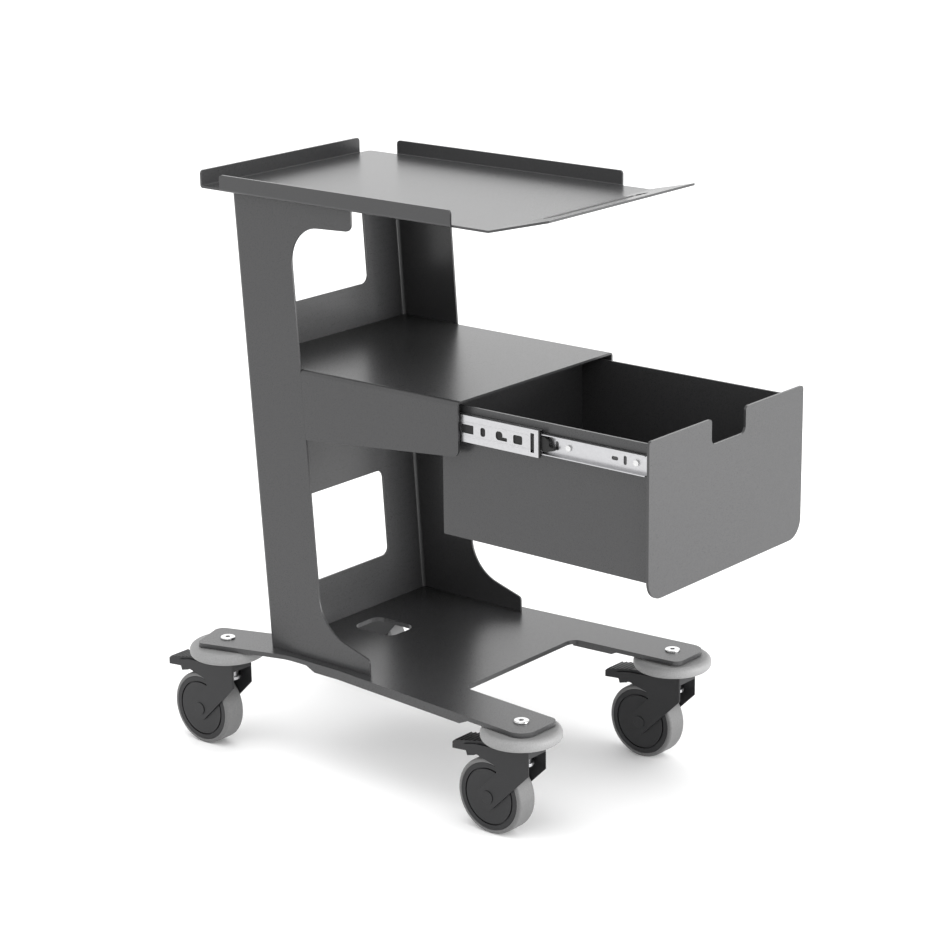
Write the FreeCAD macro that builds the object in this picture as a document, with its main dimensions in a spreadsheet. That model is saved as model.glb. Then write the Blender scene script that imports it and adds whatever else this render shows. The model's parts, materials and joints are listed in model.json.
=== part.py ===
"""Instrument cart: a sheet-metal medical trolley with a tray, a shelf with a drawer, and four swivel casters.

Millimetres, +Z up, -Y is the front. X = 0 is the plane of symmetry, Z = 0 is the floor. The drawer stands open.
The origin is the middle of the cart's footprint: every sub-part is built about the drawer housing's own datum
and then carried along Y by origin_shift.
"""
import FreeCAD, Part
import math
import os
import re

import Sketcher

# Driving dimensions. Heights are above the floor; y values are from the datum, before origin_shift.
DIMENSIONS = {
    "origin_shift": 101.5,
    "beyond": 60.0,                  # how far outside a sub-part a cut begins
    "sheet": 3.0,                    # gauge of the folded sheets
    # tray
    "tray_top": 765.4, "tray_half": 161.0, "tray_rear": 215.0, "tray_fold": -259.5, "tray_corner": 6.0,
    "lip_run": 79.5, "lip_rise": 19.0, "lip_half": 146.0, "lip_slot_from": 27.0, "lip_slot_to": 49.0,
    "lip_slot_half": 98.0, "flange_corner": 5.0, "flange_out": 4.0, "flange_bend": 3.9,
    "rear_flange_up": 20.0, "rear_flange_end": 142.0, "side_flange_up": 18.5,
    "left_flange_front": -204.0, "left_flange_rear": 181.0,
    "right_flange_front": -215.0, "right_flange_rear": 166.0,
    # column
    "lean": 0.0695, "column_half": 156.7, "column_rear": 126.7, "column_front": 29.2, "column_bend": 8.0,
    "arm_front": -36.7, "arm_low": 735.0, "arm_root_low": 730.0, "arm_corner": 10.0, "arm_fillet": 47.0,
    "toe_front": -51.0, "toe_top": 176.0, "toe_root": 201.3, "toe_corner": 6.0, "toe_fillet": 60.0,
    "window_half": 85.5, "window_corner": 11.0, "upper_window_low": 602.0, "upper_window_high": 722.0,
    "lower_window_low": 221.0, "lower_window_high": 341.0,
    # base plate
    "deck_top": 155.4, "deck_plate": 6.0, "waist_half": 168.5, "waist_front": -6.0, "waist_rear": 85.0,
    "front_tip": -336.0, "front_tip_half": 196.0, "front_tip_inner": 125.8,
    "bay_back": -173.0, "bay_half": 113.0,
    "rear_tip_half": 207.0, "rear_tip": 213.5, "rear_tip_inner": 145.0, "rear_tip_inner_y": 234.0,
    "rear_bay_half": 111.5, "rear_bay": 136.0, "bay_corner": 14.0, "tip_outer_corner": 22.0,
    "tip_inner_corner": 12.0, "rear_outer_corner": 8.0, "waist_blend_rear": 80.0,
    "skirt_down": 12.8, "skirt_rear": 51.0, "skirt_front": -241.0, "skirt_slant": 15.0,
    "bay_skirt_down": 9.5, "bay_skirt_front": -247.0, "bay_skirt_rear": -173.0,
    "cable_hole_x": -5.5, "cable_hole_y": 58.5, "cable_hole_half_x": 26.0, "cable_hole_half_y": 34.5,
    "cable_hole_corner": 14.0,
    # drawer housing
    "shelf_top": 546.0, "housing_front": -205.0, "housing_low_front": 476.5, "housing_low_rear": 454.0,
    "housing_corner": 9.0, "housing_bend": 6.0, "tongue_half": 153.5, "tongue_rear": 150.3,
    # drawer
    "panel_half": 160.8, "panel_low": 351.7, "panel_top": 547.5, "panel_front": -496.0, "panel_gauge": 3.5,
    "panel_low_corner": 25.0, "panel_top_corner": 5.0, "notch_half": 35.5, "notch_low": 515.0,
    "notch_corner": 8.0, "box_half": 141.0, "box_low": 367.5, "box_top": 538.7, "box_rear": -167.0,
    "box_gauge": 1.5, "box_front_top": 505.0, "hem": 11.8,
    # telescopic slides: depth is measured from the housing wall towards the drawer
    "slide_height": 513.0, "slide_depth": 12.7, "rail_gauge": 1.2,
    "outer_rail_half": 22.7, "outer_rail_depth": 9.8, "outer_rail_lip": 2.8,
    "outer_rail_front": -192.0, "rail_length": 300.0,
    "middle_rail_half": 17.0, "middle_rail_from": 2.4, "middle_rail_to": 10.2, "middle_rail_front": -325.6,
    "middle_rail_length": 290.0, "inner_rail_half": 12.75, "inner_rail_from": 4.6, "inner_rail_front": -481.0,
    "outer_cage_front": -172.0, "outer_cage_length": 120.0, "outer_ball": 2.1,
    "inner_cage_front": -300.0, "inner_cage_length": 100.0, "inner_ball": 1.4, "cage_gauge": 0.5,
    "screw_head": 3.8, "screw_shank": 2.0, "screw_head_tall": 2.2, "screw_bite": 2.4,
    # casters
    "front_caster_x": 159.0, "front_caster_y": -303.0, "rear_caster_x": 168.0, "rear_caster_y": 194.0,
    "disc_radius": 51.4, "disc_gap": 1.0, "disc_boss": 30.0, "disc_thick": 16.0, "disc_edge": 7.0,
    "bolt_head": 10.0, "bolt_head_tall": 2.2,
    "bolt_shank": 5.0, "bolt_low": 112.0, "socket_across": 6.0, "wheel_radius": 50.0, "trail": 40.2,
    "wheel_half": 15.8, "rim_radius": 44.5, "groove_radius": 37.0, "groove_wide": 2.0, "groove_deep": 2.5,
    "tyre_edge": 4.0, "axle_radius": 4.0, "axle_cap": 8.5, "fork_half": 18.6, "fork_gap": 16.4,
    "fork_top": 131.9, "fork_roof": 116.5, "neck_front": -25.0, "neck_rear": 20.0, "arm_half": 15.2,
    "bearing_neck": 12.0, "bearing_plate": 15.5, "bearing_low": 99.5, "bearing_plate_tall": 4.0,
    "running_gap": 0.3, "arm_reach": 18.5, "cheek_root": 93.0, "cheek_end": 80.0,
    "pedal_half": 15.6, "pedal_pivot_y": 26.0, "pedal_pivot_z": 110.0, "pedal_pin": 2.0, "pin_bite": 1.2,
}

CASTERS = {
    "front_left": ("-front_caster_x", "front_caster_y"),
    "front_right": ("front_caster_x", "front_caster_y"),
    "rear_left": ("-rear_caster_x", "rear_caster_y"),
    "rear_right": ("rear_caster_x", "rear_caster_y"),
}
SIDES = {"left": -1, "right": 1}
REACH = "1200"                       # longer than any sub-part, for cuts that go right through

document = FreeCAD.newDocument("instrument_cart")
sheet = document.addObject("Spreadsheet::Sheet", "dims")
for row, (alias, size) in enumerate(DIMENSIONS.items(), start=1):
    sheet.set("A%d" % row, alias)
    sheet.set("B%d" % row, str(size))
    sheet.setAlias("B%d" % row, alias)
document.recompute()

parts = []                           # every finished sub-part, in the order it is built


# ---------------------------------------------------------------- helpers

def bound(text):
    """'tray_half - sheet' becomes 'dims.tray_half - dims.sheet'; numbers and function names stay."""
    return re.sub(r"\b([a-z]\w*)\b(?!\()", r"dims.\1", str(text))


def size_of(alias):
    return float(getattr(sheet, alias))


def place(part, x="0", y="0"):
    """Carries a finished sub-part to its place on the floor plan and keeps it for export."""
    part.setExpression(".Placement.Base.x", bound(x))
    part.setExpression(".Placement.Base.y", bound("(%s) + origin_shift" % y))
    parts.append(part)
    return part


def new_body(label):
    body = document.addObject("PartDesign::Body", label)
    body.Label = label
    return body


def new_sketch(body, name, plane, offset="0"):
    sketch = body.newObject("Sketcher::SketchObject", body.Label + "_" + name)
    support = next(item for item in body.Origin.OriginFeatures if item.Role == plane + "_Plane")
    sketch.AttachmentSupport = [(support, "")]
    sketch.MapMode = "FlatFace"
    sketch.setExpression("AttachmentOffset.Base.z", bound(offset))
    return sketch


def draw_polygon(sketch, corners):
    """Adds a closed polygon whose corners are pairs of expressions; every corner is held to its own place."""
    first = len(sketch.Geometry)
    count = len(corners)
    ring = [FreeCAD.Vector(math.cos(2 * math.pi * i / count), math.sin(2 * math.pi * i / count), 0)
            for i in range(count)]
    for i in range(count):
        sketch.addGeometry(Part.LineSegment(ring[i], ring[(i + 1) % count]), False)
    for i in range(count):
        sketch.addConstraint(Sketcher.Constraint("Coincident", first + i, 2, first + (i + 1) % count, 1))
    for i, corner in enumerate(corners):
        for kind, value in zip(("DistanceX", "DistanceY"), corner):
            index = sketch.addConstraint(Sketcher.Constraint(kind, -1, 1, first + i, 1, 1.0))
            sketch.setExpression("Constraints[%d]" % index, bound(value))


def draw_circle(sketch, x, y, radius):
    circle = Part.Circle(FreeCAD.Vector(1, 1, 0), FreeCAD.Vector(0, 0, 1), 1)
    index = sketch.addGeometry(circle, False)
    for kind, value in zip(("DistanceX", "DistanceY"), (x, y)):
        held = sketch.addConstraint(Sketcher.Constraint(kind, -1, 1, index, 3, 1.0))
        sketch.setExpression("Constraints[%d]" % held, bound(value))
    held = sketch.addConstraint(Sketcher.Constraint("Radius", index, 1.0))
    sketch.setExpression("Constraints[%d]" % held, bound(radius))


def extrude(body, sketch, length, cut=False, both_ways=False, flip=False):
    """Pads the sketch, or pockets it. A pad must add material and a pocket must take some away."""
    before = body.Shape.Volume if body.Tip else 0.0
    kind = "PartDesign::Pocket" if cut else "PartDesign::Pad"
    feature = body.newObject(kind, sketch.Name + ("_cut" if cut else "_pad"))
    feature.Profile = sketch
    feature.SideType = "Symmetric" if both_ways else "One side"
    feature.Reversed = flip
    feature.setExpression("Length", bound(length))
    document.recompute()
    after = body.Shape.Volume
    if (after >= before) if cut else (after <= before):
        raise RuntimeError("%s changes nothing" % feature.Name)
    return feature


def prism(body, name, plane, corners, length, offset="0", **how):
    """One polygon, drawn and extruded; returns its sketch, so that its corners can be rounded later."""
    sketch = new_sketch(body, name, plane, offset)
    draw_polygon(sketch, corners)
    extrude(body, sketch, length, **how)
    return sketch


def round_edges(body, name, radius, chosen):
    """Fillets the edges of the body's tip that the test picks."""
    tip = body.Tip
    names = ["Edge%d" % (i + 1) for i, edge in enumerate(tip.Shape.Edges) if chosen(edge)]
    if not names:
        raise RuntimeError("%s: no edge to round for %s" % (body.Label, name))
    fillet = body.newObject("PartDesign::Fillet", body.Label + "_" + name)
    fillet.Base = (tip, names)
    fillet.setExpression("Radius", bound(radius))
    document.recompute()
    return fillet


def along_sketch(sketch, corner_numbers):
    """Picks the edges that run square to the sketch through its numbered corners."""
    normal = sketch.Placement.Rotation.multVec(FreeCAD.Vector(0, 0, 1))
    spots = [sketch.Placement.multVec(sketch.Geometry[i].StartPoint) for i in corner_numbers]

    def chosen(edge):
        ends = [vertex.Point for vertex in edge.Vertexes]
        if len(ends) != 2 or (ends[1] - ends[0]).Length < 1e-6:
            return False
        if abs((ends[1] - ends[0]).normalize().dot(normal)) < 0.999:
            return False
        middle = (ends[0] + ends[1]) * 0.5
        for spot in spots:
            away = middle - spot
            if (away - normal * away.dot(normal)).Length < 0.05:
                return True
        return False

    return chosen


def round_corners(body, sketch, name, radius, corner_numbers):
    return round_edges(body, name, radius, along_sketch(sketch, corner_numbers))


def edge_between(start, end, tolerance=0.2):
    """Picks the edge that joins two points of the body, in the body's own frame."""
    start, end = FreeCAD.Vector(*start), FreeCAD.Vector(*end)

    def chosen(edge):
        ends = [vertex.Point for vertex in edge.Vertexes]
        if len(ends) != 2:
            return False
        forward = (ends[0] - start).Length + (ends[1] - end).Length
        backward = (ends[0] - end).Length + (ends[1] - start).Length
        return min(forward, backward) < tolerance

    return chosen


def rectangle(x_from, x_to, y_from, y_to):
    return [(x_from, y_from), (x_to, y_from), (x_to, y_to), (x_from, y_to)]


def primitive(kind, label, sizes, position, axis=None):
    """A Part primitive with its sizes and its place bound to expressions; axis turns a cylinder off +Z."""
    item = document.addObject("Part::" + kind, label)
    for prop, value in sizes.items():
        item.setExpression(prop, bound(value))
    if axis:
        item.Placement = FreeCAD.Placement(FreeCAD.Vector(), FreeCAD.Rotation(FreeCAD.Vector(0, 0, 1),
                                                                            FreeCAD.Vector(*axis)))
    for letter, value in zip("xyz", position):
        item.setExpression(".Placement.Base." + letter, bound(value))
    return item


def joined(kind, label, shapes):
    """A Part::MultiFuse or Part::Compound of the shapes."""
    item = document.addObject("Part::" + kind, label)
    item.Label = label
    setattr(item, "Links" if kind == "Compound" else "Shapes", shapes)
    return item


# ---------------------------------------------------------------- tray, column, base plate, housing

def build_top_tray():
    body = new_body("top_tray")
    low = "tray_top - sheet"
    plate = prism(body, "plate", "XY", rectangle("-tray_half", "tray_half", "tray_fold", "tray_rear"),
                  "sheet", low)
    round_corners(body, plate, "plate_corners", "tray_corner", (2, 3))
    lip_corners = [("tray_fold", "tray_top"), ("tray_fold", low),
                   ("tray_fold - lip_run", "tray_top + lip_rise - sheet"),
                   ("tray_fold - lip_run", "tray_top + lip_rise")]
    prism(body, "lip", "YZ", lip_corners, "2 * tray_half", both_ways=True)
    for side, sign in SIDES.items():
        end = "%d * " % sign
        wedge = [(end + "tray_half", "tray_fold"), (end + "lip_half", "tray_fold - lip_run"),
                 (end + "lip_half", "tray_fold - 2 * lip_run"),
                 (end + "(tray_half + sheet)", "tray_fold - 2 * lip_run"),
                 (end + "(tray_half + sheet)", "tray_fold")]
        prism(body, "lip_end_" + side, "XY", wedge, REACH, cut=True, flip=True)
    opening = rectangle("-lip_slot_half", "lip_slot_half", "tray_fold - lip_slot_to", "tray_fold - lip_slot_from")
    slot = prism(body, "lip_slot", "XY", opening, REACH, cut=True, flip=True)
    round_corners(body, slot, "lip_slot_ends", "(lip_slot_to - lip_slot_from) / 2 - 0.05", range(4))
    flanges = {
        "rear": ("XZ", "-tray_half", "rear_flange_end", "rear_flange_up", "-(tray_rear + flange_out)", False),
        "left": ("YZ", "left_flange_front", "left_flange_rear", "side_flange_up", "-(tray_half + flange_out)",
                 False),
        "right": ("YZ", "right_flange_front", "right_flange_rear", "side_flange_up", "tray_half + flange_out",
                  True),
    }
    for name, (plane, start, end, rise, offset, flip) in flanges.items():
        if name == "rear":
            ledge = rectangle(start, end, "tray_rear - tray_corner", "tray_rear + flange_out")
        else:
            side = "%d * " % SIDES[name]
            ledge = rectangle(side + "(tray_half - 1)", side + "(tray_half + flange_out)", start, end)
        prism(body, name + "_ledge", "XY", ledge, "sheet", low)
        wall = prism(body, name + "_flange", plane, rectangle(start, end, low, "tray_top + " + rise),
                     "sheet", offset, flip=flip)
        round_corners(body, wall, name + "_flange_ends", "flange_corner", (2, 3))
        out, bottom = size_of("flange_out"), size_of("tray_top") - size_of("sheet")
        for label, inward, height, radius in (("outer", 0, bottom, "flange_bend"),
                                              ("inner", size_of("sheet"), bottom + size_of("sheet"),
                                               "flange_bend - sheet")):
            if name == "rear":
                across = size_of("tray_rear") + out - inward
                ends = [(-size_of("tray_half"), across, height), (size_of(end), across, height)]
            else:
                across = SIDES[name] * (size_of("tray_half") + out - inward)
                ends = [(across, size_of(start), height), (across, size_of(end), height)]
            round_edges(body, "%s_%s_bend" % (name, label), radius, edge_between(*ends))
    return place(body)


def build_column():
    """A folded channel: two side walls and a back panel that leans towards the rear as it rises."""
    body = new_body("column")
    top = "tray_top - sheet"
    rear = "column_rear + lean * (%s - deck_top)"
    front = "column_front + lean * (%s - deck_top)"
    profile = [("column_rear", "deck_top"), ("toe_front", "deck_top"), ("toe_front", "toe_top"),
               (front % "toe_root", "toe_root"), (front % "arm_root_low", "arm_root_low"),
               ("arm_front", "arm_low"), ("arm_front", top), (rear % ("(" + top + ")"), top)]
    outer = prism(body, "profile", "YZ", profile, "2 * column_half", both_ways=True)
    round_corners(body, outer, "toe_corner", "toe_corner", (2,))
    round_corners(body, outer, "toe_fillet", "toe_fillet", (3,))
    round_corners(body, outer, "arm_fillet", "arm_fillet", (4,))
    round_corners(body, outer, "arm_corner", "arm_corner", (5,))
    half = size_of("column_half")
    foot = (size_of("column_rear"), size_of("deck_top"))
    head_z = size_of("tray_top") - size_of("sheet")
    head = (foot[0] + size_of("lean") * (head_z - foot[1]), head_z)
    for side, sign in SIDES.items():
        round_edges(body, "bend_" + side, "column_bend",
                    edge_between((sign * half, *foot), (sign * half, *head)))
    inner_rear = "column_rear - sheet + lean * (%s)"
    hollow = [(inner_rear % "-beyond", "deck_top - beyond"), ("toe_front - beyond", "deck_top - beyond"),
              ("toe_front - beyond", "tray_top + beyond"),
              (inner_rear % "tray_top + beyond - deck_top", "tray_top + beyond")]
    prism(body, "hollow", "YZ", hollow, "2 * (column_half - sheet)", cut=True, both_ways=True)
    inside = half - size_of("sheet")
    inner = foot[0] - size_of("sheet")
    for side, sign in SIDES.items():
        round_edges(body, "inner_bend_" + side, "column_bend - sheet",
                    edge_between((sign * inside, inner, foot[1]),
                                 (sign * inside, inner + head[0] - foot[0], head_z)))
    for name in ("upper", "lower"):
        window = prism(body, name + "_window", "XZ",
                       rectangle("-window_half", "window_half", name + "_window_low", name + "_window_high"),
                       REACH, cut=True, flip=False)
        round_corners(body, window, name + "_window_corners", "window_corner", range(4))
    wall_holes(body, "outer_rail_front", OUTER_RAIL_SCREWS[-1:], "screw_shank + running_gap / 3",
               "column_half - sheet + screw_bite", "screw_bite + 1")
    return place(body)


def build_base_plate():
    body = new_body("base_plate")
    under = "deck_top - deck_plate"
    half = [("bay_half", "bay_back"), ("front_tip_inner", "front_tip"), ("front_tip_half", "front_tip"),
            ("waist_half", "waist_front"), ("waist_half", "waist_rear"), ("rear_tip_half", "rear_tip"),
            ("rear_tip_inner", "rear_tip_inner_y"), ("rear_bay_half", "rear_bay")]
    mirrored = [("-" + x, y) for x, y in reversed(half)]
    deck = prism(body, "deck", "XY", half + mirrored, "deck_plate", under)
    last = 2 * len(half) - 1
    roundings = {"bay": ("bay_corner", 0), "tip_inner": ("tip_inner_corner", 1),
                 "tip_outer": ("tip_outer_corner", 2),
                 "waist_rear": ("waist_blend_rear", 4),
                 "rear_outer": ("rear_outer_corner", 5), "rear_inner": ("tip_inner_corner", 6),
                 "rear_bay": ("bay_corner", 7)}
    for name, (radius, corner) in roundings.items():
        round_corners(body, deck, name, radius, (corner, last - corner))
    waist_slope = "(front_tip_half - waist_half) / (waist_front - front_tip)"
    bay_slope = "(front_tip_inner - bay_half) / (bay_back - front_tip)"
    for side, sign in SIDES.items():
        skirt_x = "waist_half + (waist_front - skirt_front) * " + waist_slope
        skirt = [("waist_half", "skirt_rear"), ("waist_half", "waist_front"), (skirt_x, "skirt_front"),
                 (skirt_x + " - deck_plate", "skirt_front"), ("waist_half - deck_plate", "waist_front"),
                 ("waist_half - deck_plate", "skirt_rear")]
        bay = [("bay_half + (bay_back - %s) * %s + %s" % (y, bay_slope, extra), y)
               for y, extra in (("bay_skirt_rear", "0"), ("bay_skirt_front", "0"),
                                ("bay_skirt_front", "deck_plate"), ("bay_skirt_rear", "deck_plate"))]
        for name, corners, down in (("skirt", skirt, "skirt_down"), ("bay_skirt", bay, "bay_skirt_down")):
            signed = [("%d * (%s)" % (sign, x), y) for x, y in corners]
            prism(body, name + "_" + side, "XY", signed, down + " - deck_plate / 2", "deck_top - " + down)
    for name, high, slant in (("skirt_front", "skirt_front", "skirt_slant"),
                              ("skirt_rear", "skirt_rear", "-skirt_slant")):
        low = "deck_top - skirt_down"
        notch = [(high, under), (high + " + " + slant, low), (high + " + " + slant, low + " - 5"),
                 (high + " - " + slant, low + " - 5"), (high + " - " + slant, under)]
        prism(body, name + "_slant", "YZ", notch, REACH, cut=True, both_ways=True)
    for name, (x, y) in CASTERS.items():
        sketch = new_sketch(body, "bolt_hole_" + name, "XY")
        draw_circle(sketch, x, y, "bolt_shank + running_gap")
        extrude(body, sketch, REACH, cut=True, flip=True)
    hole = prism(body, "cable_hole", "XY",
                 rectangle("cable_hole_x - cable_hole_half_x", "cable_hole_x + cable_hole_half_x",
                           "cable_hole_y - cable_hole_half_y", "cable_hole_y + cable_hole_half_y"),
                 REACH, cut=True, flip=True)
    round_corners(body, hole, "cable_hole_corners", "cable_hole_corner", range(4))
    return place(body)


def build_drawer_housing():
    """The shelf: a sheet folded down at both sides, whose narrower tongue runs back into the column."""
    body = new_body("drawer_housing")
    edge = "column_front + lean * (%s - deck_top)"
    side = [("housing_front", "housing_low_front"), ("housing_front", "shelf_top"),
            (edge % "shelf_top", "shelf_top"), (edge % "housing_low_rear", "housing_low_rear")]
    outer = prism(body, "side", "YZ", side, "2 * column_half", both_ways=True)
    round_corners(body, outer, "low_corner", "housing_corner", (0,))
    half, front, top = size_of("column_half"), size_of("housing_front"), size_of("shelf_top")
    rear = size_of("column_front") + size_of("lean") * (top - size_of("deck_top"))
    for name, sign in SIDES.items():
        round_edges(body, "bend_" + name, "housing_bend",
                    edge_between((sign * half, front, top), (sign * half, rear, top)))
    hollow = rectangle("housing_front - beyond", "tongue_rear + beyond", "housing_low_rear - beyond",
                       "shelf_top - sheet")
    prism(body, "hollow", "YZ", hollow, "2 * (column_half - sheet)", cut=True, both_ways=True)
    strip = rectangle("-tongue_half", "tongue_half", (edge % "shelf_top") + " - sheet", "tongue_rear")
    tongue = prism(body, "tongue", "XY", strip, "sheet", "shelf_top - sheet")
    round_corners(body, tongue, "tongue_corners", "column_bend - sheet + 1", (2, 3))
    wall_holes(body, "outer_rail_front", OUTER_RAIL_SCREWS[:-1], "screw_shank + running_gap / 3",
               "column_half - sheet + screw_bite", "screw_bite + 1")
    return place(body)


# ---------------------------------------------------------------- drawer

def build_drawer_front():
    body = new_body("drawer_front")
    corners = [("-panel_half", "panel_low"), ("panel_half", "panel_low"), ("panel_half", "panel_top"),
               ("notch_half", "panel_top"), ("notch_half", "notch_low"), ("-notch_half", "notch_low"),
               ("-notch_half", "panel_top"), ("-panel_half", "panel_top")]
    panel = prism(body, "panel", "XZ", corners, "panel_gauge", "-panel_front", flip=True)
    round_corners(body, panel, "low_corners", "panel_low_corner", (0, 1))
    round_corners(body, panel, "top_corners", "panel_top_corner", (2, 3, 6, 7))
    round_corners(body, panel, "notch_corners", "notch_corner", (4, 5))
    panel_screw_holes(body)
    return place(body)


def build_drawer_box():
    """A five-sided tray with outward hems; its front wall stops below the finger notch."""
    body = new_body("drawer_box")
    back_face = "panel_front + panel_gauge"
    prism(body, "block", "XY", rectangle("-box_half", "box_half", back_face, "box_rear"),
          "box_top - box_low", "box_low")
    prism(body, "inside", "XY", rectangle("box_gauge - box_half", "box_half - box_gauge",
                                          back_face + " + box_gauge", "box_rear - box_gauge"),
          REACH, "box_low + box_gauge", cut=True, flip=True)
    prism(body, "front_cut", "XY", rectangle("box_gauge - box_half", "box_half - box_gauge",
                                             back_face + " - 5", back_face + " + 5"),
          REACH, "box_front_top", cut=True, flip=True)
    for side, sign in SIDES.items():
        hem = rectangle("%d * box_half" % sign, "%d * (box_half + box_gauge)" % sign, back_face, "box_rear")
        prism(body, "hem_" + side, "XY", hem, "hem", "box_top - hem")
    wall_holes(body, "inner_rail_front", INNER_RAIL_SCREWS, "screw_shank + running_gap / 3", "box_half + 1",
               "1 + 0.8 * box_gauge")
    panel_screw_holes(body)
    return place(body)


# ---------------------------------------------------------------- telescopic slides

OUTER_RAIL_SCREWS = ("32", "150", "268")        # behind the rail's front end
INNER_RAIL_SCREWS = ("16.5", "116", "266")
PANEL_SCREWS = [("%d * 0.8 * box_half" % x, "(box_low + box_front_top) / 2 + %d * 45" % z)
                for x in (-1, 1) for z in (-1, 1)]


def wall_holes(body, front, distances, radius, outer_x, deep):
    """Screw holes in both side walls of a body, level with the slides, cut from outer_x towards the middle."""
    for side, sign in SIDES.items():
        for number, distance in enumerate(distances):
            sketch = new_sketch(body, "hole_%s_%d" % (side, number), "YZ", "%d * (%s)" % (sign, outer_x))
            draw_circle(sketch, front + " + " + distance, "slide_height", radius)
            extrude(body, sketch, deep, cut=True, flip=sign < 0)


def panel_screw_holes(body):
    """Holes for the front panel screws: through the drawer box's front wall, and blind in the panel."""
    for number, (x, z) in enumerate(PANEL_SCREWS):
        sketch = new_sketch(body, "panel_screw_hole_%d" % number, "XZ",
                            "-(panel_front + panel_gauge + box_gauge + 0.5)")
        draw_circle(sketch, x, z, "screw_shank + running_gap / 3")
        extrude(body, sketch, "0.5 + box_gauge + screw_bite + running_gap / 3", cut=True, flip=True)


def rail_section(sign, corners):
    """Section corners given as (depth from the housing wall, height from the slide's middle)."""
    return [("%d * (column_half - sheet - (%s))" % (sign, depth), "slide_height + (%s)" % height)
            for depth, height in corners]


def rail_slot(body, name, sign, depth, start, length, low, high, radius):
    """A rounded slot through the rail's web, whose face is at the given depth."""
    slot = rectangle(start, "%s + (%s)" % (start, length), "slide_height + " + low, "slide_height + " + high)
    sketch = prism(body, name, "YZ", slot, "2 * rail_gauge", "%d * (column_half - sheet - (%s))" % (sign, depth),
                   cut=True, both_ways=True)
    round_corners(body, sketch, name + "_ends", radius, range(4))


def build_outer_rail(side, sign):
    """Cabinet member: a channel screwed to the housing wall, with lips that keep the balls in."""
    body = new_body("slide_%s_cabinet_member" % side)
    h, g, d, lip = "outer_rail_half", "rail_gauge", "outer_rail_depth", "outer_rail_lip"
    upper = [(g, h + " - " + g), (d + " - " + g, h + " - " + g), (d + " - " + g, h + " - " + lip),
             (d, h + " - " + lip), (d, h), ("0", h)]
    lower = [(depth, "-(%s)" % height) for depth, height in reversed(upper)]
    prism(body, "rail", "XZ", rail_section(sign, upper + lower), "rail_length", "-outer_rail_front", flip=True)
    for number, distance in enumerate(OUTER_RAIL_SCREWS):
        sketch = new_sketch(body, "screw_hole_%d" % number, "YZ",
                            "%d * (column_half - sheet - rail_gauge / 2)" % sign)
        draw_circle(sketch, "outer_rail_front + " + distance, "slide_height", "screw_head + running_gap")
        extrude(body, sketch, "2 * rail_gauge", cut=True, both_ways=True)
    return place(body)


def build_middle_rail(side, sign):
    body = new_body("slide_%s_middle_member" % side)
    h, g, near, far = "middle_rail_half", "rail_gauge", "middle_rail_from", "middle_rail_to"
    upper = [(near + " + " + g, h + " - " + g), (far, h + " - " + g), (far, h), (near, h)]
    lower = [(depth, "-(%s)" % height) for depth, height in reversed(upper)]
    prism(body, "rail", "XZ", rail_section(sign, upper + lower), "middle_rail_length", "-middle_rail_front",
          flip=True)
    web = "middle_rail_from + rail_gauge / 2"
    front = "middle_rail_front + "
    slots = (("clip_slot", "6.5", "5.5", "-12", "12", "1"),
             ("stop_window", "24.5", "14", "-5.5", "5.5", "2.5"),
             ("access_hole", "55", "10.5", "-5.5", "5.5", "4"),
             ("access_tail", "48", "12", "-5.5", "-1", "1"),
             ("round_hole", "82", "7.5", "-5.5", "5.5", "3"),
             ("long_window", "100.5", "20", "-5.5", "5.5", "1"))
    for name, start, length, low, high, radius in slots:
        rail_slot(body, name, sign, web, front + start, length, low, high, radius)
    return place(body)


def build_inner_rail(side, sign):
    body = new_body("slide_%s_drawer_member" % side)
    h, g, near, far = "inner_rail_half", "rail_gauge", "inner_rail_from", "slide_depth"
    upper = [(far, h), (near, h), (near, h + " - " + g), (far + " - " + g, h + " - " + g)]
    lower = [(depth, "-(%s)" % height) for depth, height in reversed(upper)]
    prism(body, "rail", "XZ", rail_section(sign, upper + lower), "rail_length", "-inner_rail_front", flip=True)
    web = "slide_depth - rail_gauge / 2"
    front = "inner_rail_front + "
    slots = (("upright_slot_front", "31", "4.5", "-5.5", "5.5", "2.2"),
             ("long_slot", "43.5", "9.5", "-2.3", "2.3", "2.2"),
             ("upright_slot_rear", "131.5", "4.5", "-5.5", "5.5", "2.2"))
    for name, start, length, low, high, radius in slots:
        rail_slot(body, name, sign, web, front + start, length, low, high, radius)
    for number, distance in enumerate(INNER_RAIL_SCREWS):
        sketch = new_sketch(body, "screw_hole_%d" % number, "YZ", "%d * (column_half - sheet - (%s))" % (sign, web))
        draw_circle(sketch, front + distance, "slide_height", "screw_shank + running_gap")
        extrude(body, sketch, "2 * rail_gauge", cut=True, both_ways=True)
    return place(body)


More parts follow.
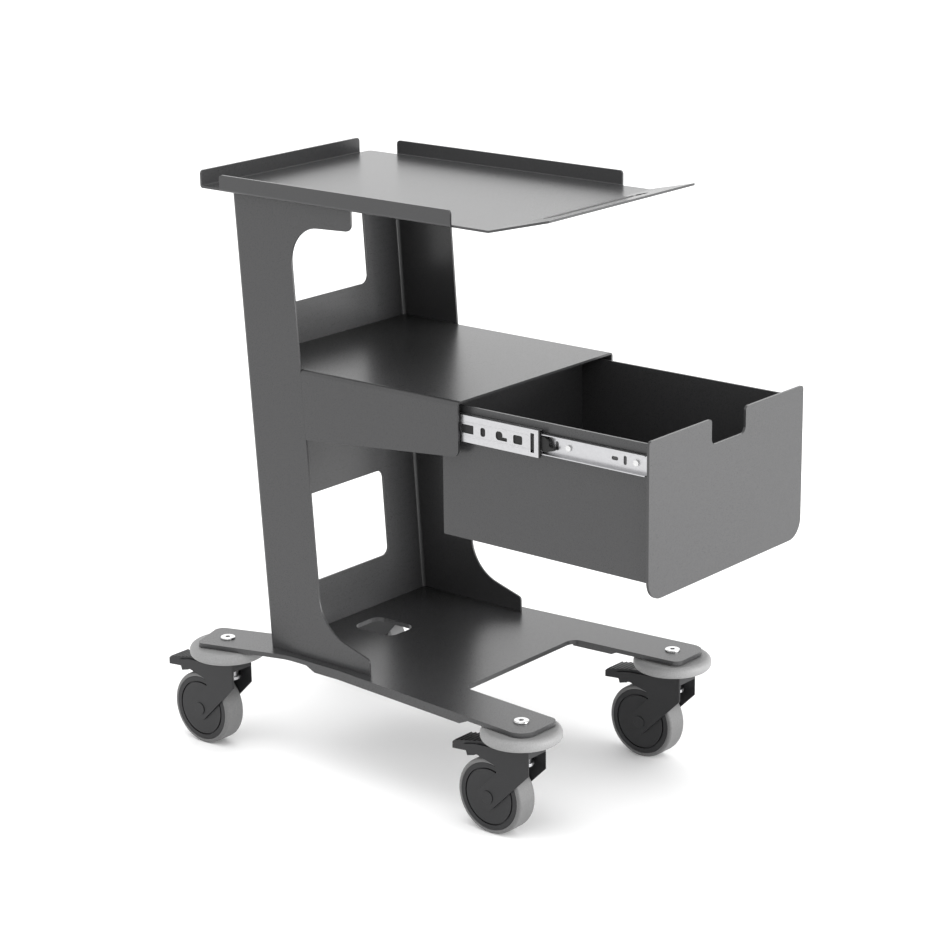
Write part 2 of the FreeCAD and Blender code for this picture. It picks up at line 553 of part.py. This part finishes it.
def build_ball_cage(side, sign, level, track, web_depth, strip_to, front, length, radius):
    """A folded strip between two rails, with a row of balls along its top and its bottom."""
    label = "slide_%s_%s_balls" % (side, level)
    near = "column_half - sheet - (%s)"
    low_x = "%d * (%s) %s" % (sign, near % web_depth, "- cage_gauge" if sign > 0 else "")
    web_sizes = {"Length": "cage_gauge", "Width": length, "Height": "2 * (%s)" % track}
    web = primitive("Box", label + "_web", web_sizes, (low_x, front, "slide_height - (%s)" % track))
    solids = [web]
    deep = "(%s) - (%s)" % (strip_to, web_depth)
    strip_x = "%d * (%s)" % (sign, near % (strip_to if sign > 0 else web_depth))
    for row in (-1, 1):
        middle = "slide_height + %d * (%s)" % (row, track)
        solids.append(primitive("Box", "%s_strip_%d" % (label, row),
                                {"Length": deep, "Width": length, "Height": "cage_gauge"},
                                (strip_x, front, middle + " - cage_gauge / 2")))
        for number in range(6):
            along = "%s + (%s) * %g" % (front, length, (number + 0.5) / 6)
            across = "%d * (%s)" % (sign, near % ("(%s + %s) / 2 + 0.3" % (web_depth, strip_to)))
            solids.append(primitive("Sphere", "%s_ball_%d_%d" % (label, row, number), {"Radius": radius},
                                    (across, along, middle)))
    return place(joined("MultiFuse", label, solids))


def build_release_lever(side, sign):
    """Black plastic catch inside the drawer member, which unlatches the drawer from the slide."""
    body = new_body("slide_%s_release_lever" % side)
    start = "middle_rail_front"
    corners = [(start + " - 1.2", "slide_height - 8"), (start + " - 1.2", "slide_height + 9.5"),
               (start + " - 8", "slide_height + 9.5"), (start + " - 14", "slide_height + 5"),
               (start + " - 14", "slide_height - 1"), (start + " - 22", "slide_height - 3"),
               (start + " - 22", "slide_height - 5"), (start + " - 12", "slide_height - 8")]
    near = "%d * (column_half - sheet - inner_rail_from - 0.4)" % sign
    block = prism(body, "catch", "YZ", corners, "slide_depth - rail_gauge - inner_rail_from - 0.4", near,
                  flip=sign > 0)
    round_corners(body, block, "soft_corners", "1.5", (0, 1, 2, 3))
    return place(body)


def build_front_clip(side, sign):
    """Black plastic stop at the middle member's front end; its wavy leg shows in the member's web."""
    body = new_body("slide_%s_front_clip" % side)
    end = "middle_rail_front"
    outer = "%d * (column_half - sheet - middle_rail_from)" % sign
    bumper = rectangle(end + " - 2.4", end, "slide_height - middle_rail_half", "slide_height + middle_rail_half")
    prism(body, "bumper", "YZ", bumper, "rail_gauge", outer, flip=sign > 0)
    inner = "%d * (column_half - sheet - middle_rail_from - rail_gauge)" % sign
    bridge = rectangle(end + " - 2.4", end + " + 16", "slide_height - 9", "slide_height + 9")
    prism(body, "bridge", "YZ", bridge, "rail_gauge / 2", inner, flip=sign > 0)
    leg = [(end + " + 7", "slide_height - 8.5"), (end + " + 11.5", "slide_height - 8.5"),
           (end + " + 9.5", "slide_height - 5"), (end + " + 9.5", "slide_height + 5"),
           (end + " + 11.5", "slide_height + 8.5"), (end + " + 7", "slide_height + 8.5")]
    prism(body, "wavy_leg", "YZ", leg, "rail_gauge * 0.8", inner, flip=sign < 0)
    return place(body)


def screw(label, x, y, z, axis, head_radius, head_tall, shank_long):
    """A screw whose head sits on the point given and whose shank runs along axis; +1 or -1 on X, or +Y."""
    direction = {"x": (1, 0, 0), "-x": (-1, 0, 0), "-y": (0, -1, 0)}[axis]
    back = tuple(-part for part in direction)
    head = primitive("Cylinder", label + "_head", {"Radius": head_radius, "Height": head_tall}, (x, y, z), back)
    shank = primitive("Cylinder", label + "_shank", {"Radius": "screw_shank", "Height": shank_long}, (x, y, z),
                      direction)
    return joined("MultiFuse", label, [head, shank])


def build_slide_screws():
    cabinet, drawer = [], []
    for side, sign in SIDES.items():
        for number, distance in enumerate(OUTER_RAIL_SCREWS):
            cabinet.append(screw("cabinet_screw_%s_%d" % (side, number),
                                 "%d * (column_half - sheet - 0.2)" % sign, "outer_rail_front + " + distance,
                                 "slide_height", "x" if sign > 0 else "-x", "screw_head", "rail_gauge - 0.3",
                                 "screw_bite"))
        for number, distance in enumerate(INNER_RAIL_SCREWS):
            drawer.append(screw("drawer_screw_%s_%d" % (side, number),
                                "%d * (column_half - sheet - slide_depth + rail_gauge)" % sign,
                                "inner_rail_front + " + distance, "slide_height", "-x" if sign > 0 else "x",
                                "screw_head", "screw_head_tall", "rail_gauge + 0.6 * box_gauge"))
    place(joined("Compound", "slide_cabinet_screws", cabinet))
    place(joined("Compound", "slide_drawer_screws", drawer))


def build_front_panel_screws():
    """Four screws through the drawer box's front wall into the front panel, heads inside the drawer."""
    screws = []
    for number, (x, z) in enumerate(PANEL_SCREWS):
        screws.append(screw("front_panel_screw_%d" % number, x, "panel_front + panel_gauge + box_gauge", z, "-y",
                            "screw_head", "screw_head_tall", "box_gauge + screw_bite"))
    return place(joined("Compound", "front_panel_screws", screws))


# ---------------------------------------------------------------- casters, built about the stem's axis

def disc(body, name, radius, low, high, hole=None):
    """An upright round slab, with a bore if a hole radius is given."""
    sketch = new_sketch(body, name, "XY", low)
    draw_circle(sketch, "0", "0", radius)
    if hole:
        draw_circle(sketch, "0", "0", hole)
    extrude(body, sketch, "(%s) - (%s)" % (high, low))


def wheel_ring(body, name, radius, half, hole=None, cut=False):
    """A slab turned about the axle, from -half to +half across the wheel."""
    sketch = new_sketch(body, name, "YZ")
    draw_circle(sketch, "trail", "wheel_radius", radius)
    if hole:
        draw_circle(sketch, "trail", "wheel_radius", hole)
    extrude(body, sketch, "2 * (%s)" % half, cut=cut, both_ways=True)
    return sketch


def circles_of(radius, at_heights=None, across=None):
    """Picks full circles of a radius, at given heights (upright axis) or places across the wheel."""
    def chosen(edge):
        if not isinstance(edge.Curve, Part.Circle) or abs(edge.Curve.Radius - radius) > 0.01:
            return False
        centre = edge.Curve.Center
        places, where = (at_heights, centre.z) if at_heights else (across, centre.x)
        return any(abs(where - spot) < 0.01 for spot in places)

    return chosen


def build_bumper_disc(name, x, y):
    body = new_body("caster_%s_bumper_disc" % name)
    under = "deck_top - deck_plate"
    high = under + " - disc_gap"
    disc(body, "slab", "disc_radius", high + " - disc_thick", high, "bolt_shank + running_gap")
    top = size_of("deck_top") - size_of("deck_plate") - size_of("disc_gap")
    faces = (top, top - size_of("disc_thick"))
    round_edges(body, "soft_rim", "disc_edge", circles_of(size_of("disc_radius"), at_heights=faces))
    disc(body, "boss", "disc_boss", high, under, "bolt_shank + running_gap")
    return place(body, x, y)


def build_stem_bolt(name, x, y):
    body = new_body("caster_%s_stem_bolt" % name)
    disc(body, "head", "bolt_head", "deck_top", "deck_top + bolt_head_tall")
    face = size_of("deck_top") + size_of("bolt_head_tall")
    round_edges(body, "head_edge", "1.2", circles_of(size_of("bolt_head"), at_heights=(face,)))
    disc(body, "shank", "bolt_shank", "bolt_low", "deck_top + 1")
    across = "socket_across / sqrt(3)"
    hexagon = [("%s * %.6f" % (across, math.cos(math.radians(60 * i))),
                "%s * %.6f" % (across, math.sin(math.radians(60 * i)))) for i in range(6)]
    prism(body, "socket", "XY", hexagon, "4", "deck_top + bolt_head_tall", cut=True)
    return place(body, x, y)


def build_bearing(name, x, y):
    """Swivel bearing: a neck in the fork's roof and a steel plate below that carries the fork."""
    body = new_body("caster_%s_bearing" % name)
    high = "deck_top - deck_plate - disc_gap - disc_thick"
    disc(body, "neck", "bearing_neck", "bearing_low", high, "bolt_shank + running_gap")
    disc(body, "plate", "bearing_plate", "bearing_low", "bearing_low + bearing_plate_tall",
         "bolt_shank + running_gap")
    return place(body, x, y)


def build_fork(name, x, y):
    """Moulded fork: a block round the bearing, two arms down to the axle and two cheeks beside the pedal."""
    body = new_body("caster_%s_fork" % name)
    lean_sum = "trail + wheel_radius"                       # y + z is constant along each arm's edges
    low_sum, high_sum = "(%s - 1.4142 * arm_half)" % lean_sum, "(%s + 1.4142 * arm_half)" % lean_sum
    end_difference = "(trail - wheel_radius + 1.4142 * arm_reach)"
    outline = [("neck_front", "fork_top"), ("neck_front", low_sum + " - neck_front"),
               ("(%s + %s) / 2" % (low_sum, end_difference), "(%s - %s) / 2" % (low_sum, end_difference)),
               ("(%s + %s) / 2" % (high_sum, end_difference), "(%s - %s) / 2" % (high_sum, end_difference)),
               (high_sum + " - cheek_root", "cheek_root"), ("cheek_end - 25", "cheek_root + 9.5"),
               ("cheek_end", "cheek_root + 11.5"), ("cheek_end", "fork_roof - 5"), ("cheek_end - 22", "fork_roof"),
               ("neck_rear", "119"), ("neck_rear", "fork_top")]
    cheeks = prism(body, "cheeks", "YZ", outline, "2 * fork_half", both_ways=True)
    round_corners(body, cheeks, "arm_end", "arm_half - 0.6", (2, 3))
    round_corners(body, cheeks, "arm_root", "7", (4,))
    round_corners(body, cheeks, "cheek_end", "3", (6, 7))
    hollow = [("neck_front - 10", "5"), ("neck_front - 10", "fork_roof"), ("neck_rear - 4", "fork_roof"),
              ("neck_rear - 4", "fork_top + 10"), ("95", "fork_top + 10"), ("95", "5")]
    prism(body, "wheel_space", "YZ", hollow, "2 * fork_gap", cut=True, both_ways=True)
    bore = new_sketch(body, "bearing_bore", "XY")
    draw_circle(bore, "0", "0", "bearing_neck + running_gap")
    extrude(body, bore, REACH, cut=True, flip=True)
    for label, where, height, radius, length in (
            ("axle", "trail", "wheel_radius", "axle_radius", REACH),
            ("pin", "pedal_pivot_y", "pedal_pivot_z", "pedal_pin", "2 * (fork_gap + pin_bite + running_gap)")):
        sketch = new_sketch(body, label + "_bore", "YZ")
        draw_circle(sketch, where, height, radius + " + 0.05")
        extrude(body, sketch, length, cut=True, both_ways=True)
    edge_half, front, top = size_of("fork_half"), size_of("neck_front"), size_of("fork_top")
    low = size_of("trail") + size_of("wheel_radius") - 1.4142 * size_of("arm_half") - front
    for sign in SIDES.values():
        round_edges(body, "front_edge_%d" % (sign + 1), "2.2",
                    edge_between((sign * edge_half, front, low), (sign * edge_half, front, top)))
    return place(body, x, y)


def build_pedal(name, x, y):
    """Brake pedal: pressing the ribbed tail turns it about its pin and drives the shoe onto the tyre."""
    body = new_body("caster_%s_brake_pedal" % name)
    ribs, rib_pitch, tail, tail_top, slope = 6, 7.0, 99.0, 111.5, 0.2
    top = [("%g" % tail, "%g" % (tail_top - 2.5)), ("%g" % (tail - 2.5), "%g" % tail_top)]
    for number in range(ribs):
        along = tail - 5 - number * rib_pitch
        height = tail_top + slope * (tail - along)
        top += [("%g" % (along + 1.2), "%g" % (height - 0.2)), ("%g" % along, "%g" % (height + 0.9)),
                ("%g" % (along - 1.5), "%g" % (height + 0.9)), ("%g" % (along - 2.7), "%g" % (height + 0.3))]
    under = [("neck_rear + 1.5", "125"), ("neck_rear + 0.6", "118"), ("neck_rear + 0.6", "105.5"), ("32", "104.5"),
             ("45", "106"), ("61.5", "104"), ("63", "99.6"), ("75", "96.4"), ("77", "102.3"), ("84", "101.8"),
             ("%g" % tail, "100.4")]
    prism(body, "lever", "YZ", top + under, "2 * pedal_half", both_ways=True)
    sketch = new_sketch(body, "pin_bore", "YZ")
    draw_circle(sketch, "pedal_pivot_y", "pedal_pivot_z", "pedal_pin + running_gap")
    extrude(body, sketch, REACH, cut=True, both_ways=True)
    return place(body, x, y)


def build_pedal_pin(name, x, y):
    body = new_body("caster_%s_pedal_pin" % name)
    sketch = new_sketch(body, "pin", "YZ")
    draw_circle(sketch, "pedal_pivot_y", "pedal_pivot_z", "pedal_pin")
    extrude(body, sketch, "2 * (fork_gap + pin_bite)", both_ways=True)
    return place(body, x, y)


def build_rim(name, x, y):
    """Hub and rim in one moulding, with a round groove on each face."""
    body = new_body("caster_%s_rim" % name)
    wheel_ring(body, "disc", "rim_radius", "wheel_half", "axle_radius + running_gap")
    faces = (-size_of("wheel_half"), size_of("wheel_half"))
    round_edges(body, "rim_edge", "1.0", circles_of(size_of("rim_radius"), across=faces))
    for side, sign in SIDES.items():
        groove = new_sketch(body, "groove_" + side, "YZ", "%d * wheel_half" % sign)
        draw_circle(groove, "trail", "wheel_radius", "groove_radius + groove_wide / 2")
        draw_circle(groove, "trail", "wheel_radius", "groove_radius - groove_wide / 2")
        extrude(body, groove, "groove_deep", cut=True, flip=sign < 0)
    return place(body, x, y)


def build_tyre(name, x, y):
    body = new_body("caster_%s_tyre" % name)
    wheel_ring(body, "ring", "wheel_radius", "wheel_half", "rim_radius")
    faces = (-size_of("wheel_half"), size_of("wheel_half"))
    round_edges(body, "tread_edge", "tyre_edge", circles_of(size_of("wheel_radius"), across=faces))
    return place(body, x, y)


def build_axle(name, x, y):
    body = new_body("caster_%s_axle" % name)
    wheel_ring(body, "shaft", "axle_radius", "fork_half + 0.5")
    for side, sign in SIDES.items():
        cap = new_sketch(body, "cap_" + side, "YZ", "%d * fork_half" % sign)
        draw_circle(cap, "trail", "wheel_radius", "axle_cap")
        extrude(body, cap, "1.2", flip=sign < 0)
    return place(body, x, y)


# ---------------------------------------------------------------- the cart

def build_slide(side, sign):
    build_outer_rail(side, sign)
    build_middle_rail(side, sign)
    build_inner_rail(side, sign)
    build_ball_cage(side, sign, "outer", "(middle_rail_half + outer_rail_half - rail_gauge) / 2", "1.55", "8.2",
                    "outer_cage_front", "outer_cage_length", "outer_ball")
    build_ball_cage(side, sign, "inner", "(inner_rail_half + middle_rail_half - rail_gauge) / 2", "3.85", "9.8",
                    "inner_cage_front", "inner_cage_length", "inner_ball")
    build_release_lever(side, sign)
    build_front_clip(side, sign)


def build_caster(name, x, y):
    for build in (build_bumper_disc, build_stem_bolt, build_bearing, build_fork, build_pedal, build_pedal_pin,
                  build_rim, build_tyre, build_axle):
        build(name, x, y)


def write_parts():
    """Stops on any failed object or bad shape, then writes one STEP file for each sub-part."""
    document.recompute()
    failed = [item.Name for item in document.Objects if {"Invalid", "Error"} & set(item.State)]
    failed += [part.Label for part in parts if part.Shape.isNull() or not part.Shape.isValid()]
    if failed:
        raise RuntimeError("failed: " + ", ".join(failed))
    os.makedirs("parts", exist_ok=True)
    for part in parts:
        part.Shape.exportStep("parts/%s.step" % part.Label)
        box = part.Shape.BoundBox
        print("%-34s solids %d  volume %9.0f  y %7.1f..%7.1f" % (part.Label, len(part.Shape.Solids),
                                                               part.Shape.Volume, box.YMin, box.YMax))


build_top_tray()
build_column()
build_base_plate()
build_drawer_housing()
build_drawer_box()
build_drawer_front()
for side_name, side_sign in SIDES.items():
    build_slide(side_name, side_sign)
build_slide_screws()
build_front_panel_screws()
for caster_name, (stem_x, stem_y) in CASTERS.items():
    build_caster(caster_name, stem_x, stem_y)
write_parts()
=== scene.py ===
"""Looks of the instrument cart: camera, white studio, finishes, softened edges and the slides' beads."""

import json
import math

import bpy
from mathutils import Matrix, Vector


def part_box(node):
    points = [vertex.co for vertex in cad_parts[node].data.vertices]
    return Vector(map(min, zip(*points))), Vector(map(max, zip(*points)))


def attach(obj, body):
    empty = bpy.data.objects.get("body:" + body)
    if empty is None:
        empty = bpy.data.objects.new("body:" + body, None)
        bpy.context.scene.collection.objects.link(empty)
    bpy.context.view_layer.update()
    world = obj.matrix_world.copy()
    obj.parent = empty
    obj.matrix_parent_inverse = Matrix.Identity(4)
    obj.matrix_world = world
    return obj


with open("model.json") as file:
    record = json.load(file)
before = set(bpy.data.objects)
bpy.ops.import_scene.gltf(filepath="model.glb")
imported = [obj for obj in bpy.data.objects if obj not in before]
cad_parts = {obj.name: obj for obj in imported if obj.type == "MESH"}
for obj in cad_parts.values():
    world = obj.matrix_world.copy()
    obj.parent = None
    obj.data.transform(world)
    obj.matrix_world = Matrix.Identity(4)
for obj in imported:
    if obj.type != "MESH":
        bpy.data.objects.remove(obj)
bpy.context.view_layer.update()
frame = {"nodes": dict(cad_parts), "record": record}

MM = 0.001

# ---------------------------------------------------------------- camera and studio

CAMERA_PLACE = (-2.6138, -2.1814, 1.4247)
CAMERA_YAW = math.radians(-50.14)          # the camera stands this far round from -Y, towards -X
CAMERA_PITCH = math.radians(16.79)         # and looks this far down
CAMERA_ROLL = math.radians(-0.67)
CAMERA_LENS = 104.13                       # focal length, mm
CAMERA_SENSOR = 36.0                       # width, mm
CAMERA_REACH = 60.0                        # nothing farther than this is drawn
SKY_STRENGTH = 1.35                        # bright enough for the floor to come out white
FLOOR_REACH = 14.0                         # from the middle of the floor to its edges
STUDIO_LIGHTS = (                          # name, place, aim, size, watts
    ("front", (1.0, -3.4, 0.55), (0, 0, 0.45), (2.6, 1.0), 120),
    ("top", (-0.8, -0.4, 3.2), (0, 0, 0.3), (2.0, 2.0), 30),
    ("back", (3.2, 2.7, 1.6), (0, 0, 0.5), (3.6, 2.0), 12),
)


def add_camera():
    level_share = math.cos(CAMERA_PITCH)
    back = Vector((math.sin(CAMERA_YAW) * level_share, -math.cos(CAMERA_YAW) * level_share,
                   math.sin(CAMERA_PITCH)))
    level = Vector((0, 0, 1)).cross(back).normalized()
    upright = back.cross(level)
    right = level * math.cos(CAMERA_ROLL) + upright * math.sin(CAMERA_ROLL)
    up = upright * math.cos(CAMERA_ROLL) - level * math.sin(CAMERA_ROLL)
    data = bpy.data.cameras.new("photo_view")
    data.lens = CAMERA_LENS
    data.sensor_width = CAMERA_SENSOR
    data.clip_end = CAMERA_REACH
    camera = bpy.data.objects.new("photo_view", data)
    turn = Matrix((right, up, back)).transposed().to_4x4()
    camera.matrix_world = Matrix.Translation(CAMERA_PLACE) @ turn
    bpy.context.collection.objects.link(camera)
    bpy.context.scene.camera = camera


def add_area_light(name, place, aim, size, watts):
    data = bpy.data.lights.new(name, "AREA")
    data.shape = "RECTANGLE"
    data.size, data.size_y = size
    data.energy = watts
    light = bpy.data.objects.new(name, data)
    light.location = place
    light.visible_camera = False
    light.rotation_euler = (Vector(aim) - Vector(place)).to_track_quat("-Z", "Y").to_euler()
    bpy.context.collection.objects.link(light)


def build_studio():
    scene = bpy.context.scene
    scene.view_settings.view_transform = "Standard"
    world = bpy.data.worlds.new("studio")
    world.use_nodes = True
    backdrop = world.node_tree.nodes["Background"]
    backdrop.inputs["Color"].default_value = (1, 1, 1, 1)
    backdrop.inputs["Strength"].default_value = SKY_STRENGTH
    scene.world = world
    for light in STUDIO_LIGHTS:
        add_area_light(*light)
    mesh = bpy.data.meshes.new("floor")
    corners = [(x * FLOOR_REACH, y * FLOOR_REACH, 0) for x, y in ((-1, -1), (1, -1), (1, 1), (-1, 1))]
    mesh.from_pydata(corners, [], [(0, 1, 2, 3)])
    floor = bpy.data.objects.new("floor", mesh)
    bpy.context.collection.objects.link(floor)
    mesh.materials.append(materials["studio_floor"])


# ---------------------------------------------------------------- materials

def new_material(name, color, roughness, metallic=0.0, specular=0.5):
    """One plain Principled material."""
    material = bpy.data.materials.new(name)
    material.use_nodes = True
    shader = material.node_tree.nodes["Principled BSDF"]
    shader.inputs["Base Color"].default_value = (*color, 1)
    shader.inputs["Roughness"].default_value = roughness
    shader.inputs["Metallic"].default_value = metallic
    shader.inputs["Specular IOR Level"].default_value = specular
    return material


GRAIN_DETAIL = 4.0
GRAIN_BAND = (0.35, 0.65)                  # the part of the noise over which colour and roughness change


def grained(name, scale, colors, roughness, bump, distance, metallic=0.0, specular=0.5):
    """A finish with speckled colour and roughness and a fine relief, all from one noise in object space."""
    material = new_material(name, colors[0], roughness[0], metallic, specular)
    tree = material.node_tree
    shader = tree.nodes["Principled BSDF"]
    place = tree.nodes.new("ShaderNodeTexCoord")
    noise = tree.nodes.new("ShaderNodeTexNoise")
    noise.inputs["Scale"].default_value = scale
    noise.inputs["Detail"].default_value = GRAIN_DETAIL
    tree.links.new(place.outputs["Object"], noise.inputs["Vector"])
    greys = [(value, value, value) for value in roughness]
    for values, socket in ((colors, "Base Color"), (greys, "Roughness")):
        ramp = tree.nodes.new("ShaderNodeValToRGB")
        for element, value, position in zip(ramp.color_ramp.elements, values, GRAIN_BAND):
            element.color = (*value, 1)
            element.position = position
        tree.links.new(noise.outputs["Fac"], ramp.inputs["Fac"])
        tree.links.new(ramp.outputs["Color"], shader.inputs[socket])
    relief = tree.nodes.new("ShaderNodeBump")
    relief.inputs["Strength"].default_value = bump
    relief.inputs["Distance"].default_value = distance
    tree.links.new(noise.outputs["Fac"], relief.inputs["Height"])
    tree.links.new(relief.outputs["Normal"], shader.inputs["Normal"])
    return material


def make_materials():
    """Replaces the plain materials that come with the CAD nodes, which have the same names."""
    for imported in list(bpy.data.materials):
        bpy.data.materials.remove(imported)
    made = (
        new_material("studio_floor", (0.97, 0.97, 0.97), 0.9),
        grained("powder_coat", 1400, ((0.028, 0.028, 0.029), (0.038, 0.038, 0.039)), (0.26, 0.36),
                0.12, 0.06 * MM),
        grained("zinc_steel", 300, ((0.46, 0.46, 0.47), (0.50, 0.50, 0.51)), (0.28, 0.38),
                0.05, 0.03 * MM, metallic=1.0),
        grained("bolt_steel", 500, ((0.56, 0.56, 0.56), (0.64, 0.64, 0.64)), (0.2, 0.3),
                0.05, 0.03 * MM, metallic=1.0),
        grained("caster_plastic", 900, ((0.010, 0.010, 0.011), (0.016, 0.016, 0.017)), (0.4, 0.5),
                0.15, 0.05 * MM, specular=0.35),
        grained("bumper_grey", 700, ((0.20, 0.20, 0.20), (0.24, 0.24, 0.24)), (0.5, 0.6),
                0.12, 0.05 * MM),
        grained("tyre_grey", 600, ((0.10, 0.10, 0.10), (0.13, 0.13, 0.13)), (0.5, 0.62),
                0.15, 0.06 * MM),
        grained("slide_plastic", 800, ((0.012, 0.012, 0.012), (0.02, 0.02, 0.02)), (0.35, 0.45),
                0.1, 0.04 * MM, specular=0.2),
    )
    return {material.name: material for material in made}


# ---------------------------------------------------------------- CAD nodes

PLAIN_EDGE = 0.4 * MM
EDGE_WIDTHS = {"powder_coat": 0.6 * MM, "zinc_steel": 0.2 * MM, "bolt_steel": 0.2 * MM}
WELD_GAP = 0.02 * MM
FLAT_ANGLE = math.radians(0.5)             # faces that turn less than this become one
SHARP_ANGLE = math.radians(40)             # edges that turn more than this are rounded


def soften_edges(obj, width):
    """Welds the imported faces together, merges the flat ones and rounds every sharp edge a little."""
    weld = obj.modifiers.new("weld", "WELD")
    weld.merge_threshold = WELD_GAP
    flat = obj.modifiers.new("flat", "DECIMATE")
    flat.decimate_type = "DISSOLVE"
    flat.angle_limit = FLAT_ANGLE
    bevel = obj.modifiers.new("bevel", "BEVEL")
    bevel.width = width
    bevel.segments = 2
    bevel.limit_method = "ANGLE"
    bevel.angle_limit = SHARP_ANGLE
    bevel.harden_normals = True
    bevel.use_clamp_overlap = True
    weighted = obj.modifiers.new("weighted", "WEIGHTED_NORMAL")
    weighted.keep_sharp = False


def dress_cad_nodes():
    for row in frame["record"]["subparts"]:
        obj = frame["nodes"][row["node"]]
        obj.data.materials.clear()
        obj.data.materials.append(materials[row["material_slot"]])
        soften_edges(obj, EDGE_WIDTHS.get(row["material_slot"], PLAIN_EDGE))


# ---------------------------------------------------------------- pressed beads of the slides

BEAD_WIDE = 1.8 * MM
BEAD_TALL = 0.28 * MM
BEAD_OFF_MIDDLE = 8.6 * MM
BEAD_FRONT_INSET = 14 * MM                 # leaves the clip's slot at the front end free
BEAD_REAR_INSET = 6 * MM
BEAD_STEPS = 10
BEAD_TAPER = 3 * MM
BEAD_TIP = 0.05                            # size of the section at each end, as a share of the full one


def add_bead(name, face_x, outward, front_y, rear_y, middle_z):
    """A half-round ridge along Y on the member's outer face, with tapered ends."""
    sections = ((front_y, BEAD_TIP), (front_y + BEAD_TAPER, 1.0), (rear_y - BEAD_TAPER, 1.0),
                (rear_y, BEAD_TIP))
    points = []
    for y, scale in sections:
        for step in range(BEAD_STEPS + 1):
            angle = math.pi * step / BEAD_STEPS
            points.append((face_x + outward * BEAD_TALL * scale * math.sin(angle), y,
                           middle_z + BEAD_WIDE / 2 * scale * math.cos(angle)))
    row = BEAD_STEPS + 1
    faces = [tuple(range(row)), tuple(range(3 * row + BEAD_STEPS, 3 * row - 1, -1))]
    for i in range(len(sections) - 1):
        for j in range(row):
            following = (j + 1) % row
            faces.append((i * row + j, (i + 1) * row + j, (i + 1) * row + following, i * row + following))
    if outward > 0:
        faces = [face[::-1] for face in faces]
    mesh = bpy.data.meshes.new(name)
    mesh.from_pydata(points, [], faces)
    mesh.shade_smooth()
    mesh.materials.append(materials["zinc_steel"])
    bead = bpy.data.objects.new(name, mesh)
    bpy.context.collection.objects.link(bead)
    return bead


def bead_middle_members():
    for side, outward in (("left", -1), ("right", 1)):
        low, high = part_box("slide_%s_middle_member" % side)
        face_x = low[0] if outward < 0 else high[0]
        middle = (low[2] + high[2]) / 2
        for level, sign in (("upper", 1), ("lower", -1)):
            bead = add_bead("slide_%s_%s_bead" % (side, level), face_x, outward, low[1] + BEAD_FRONT_INSET,
                            high[1] - BEAD_REAR_INSET, middle + sign * BEAD_OFF_MIDDLE)
            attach(bead, "slide_%s_middle" % side)


materials = make_materials()
add_camera()
build_studio()
dress_cad_nodes()
bead_middle_members()
